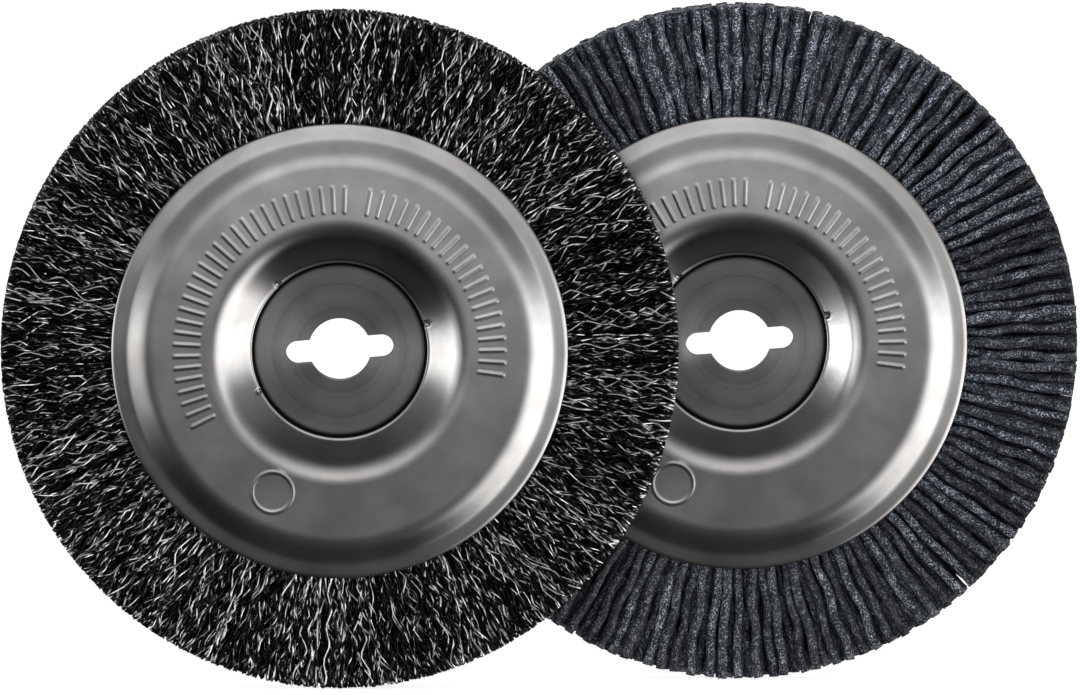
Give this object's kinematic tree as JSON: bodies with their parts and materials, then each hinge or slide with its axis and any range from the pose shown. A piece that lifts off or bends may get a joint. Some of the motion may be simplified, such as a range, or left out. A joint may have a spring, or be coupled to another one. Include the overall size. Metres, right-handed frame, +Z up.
{
  "type": "wheel brush pair",
  "caption": "Wheel brushes with dished pressed-steel flanges and keyed hub bores: crimped steel wire standing in front of abrasive nylon filament, for a powered arbor.",
  "frame": {"origin": "middle of the nylon brush's bore, on its axis and halfway through the hub", "axes": "+Z up, -Y out of the pictured faces along the bores, +X from the wire brush to the nylon brush"},
  "size_m": [0.175, 0.0307, 0.11],
  "materials": {
    "flange_steel": "satin pressed sheet",
    "hub_steel": "turned, with concentric tool marks",
    "ring_steel": "drawn wire",
    "brush_wire": "dark crimped wire",
    "abrasive_nylon": "matt blue-grey filament with pale grit"
  },
  "bodies": {
    "nylon_brush": {"nylon_front_flange": "flange_steel", "nylon_rear_flange": "flange_steel", "nylon_hub": "hub_steel", "nylon_core_ring": "ring_steel", "nylon_middle_fill": "abrasive_nylon", "nylon_inner_strands": "abrasive_nylon", "nylon_outer_strands": "abrasive_nylon"},
    "wire_brush": {"wire_front_flange": "flange_steel", "wire_rear_flange": "flange_steel", "wire_hub": "hub_steel", "wire_core_ring": "ring_steel", "wire_middle_fill": "brush_wire", "wire_inner_strands": "brush_wire", "wire_outer_strands": "brush_wire"}
  },
  "joints": [
    {"name": "wire_brush_pull", "type": "slide", "parent": "nylon_brush", "child": "wire_brush", "axis": [0, -1, 0], "range_m": [0, 0.06]}
  ]
}
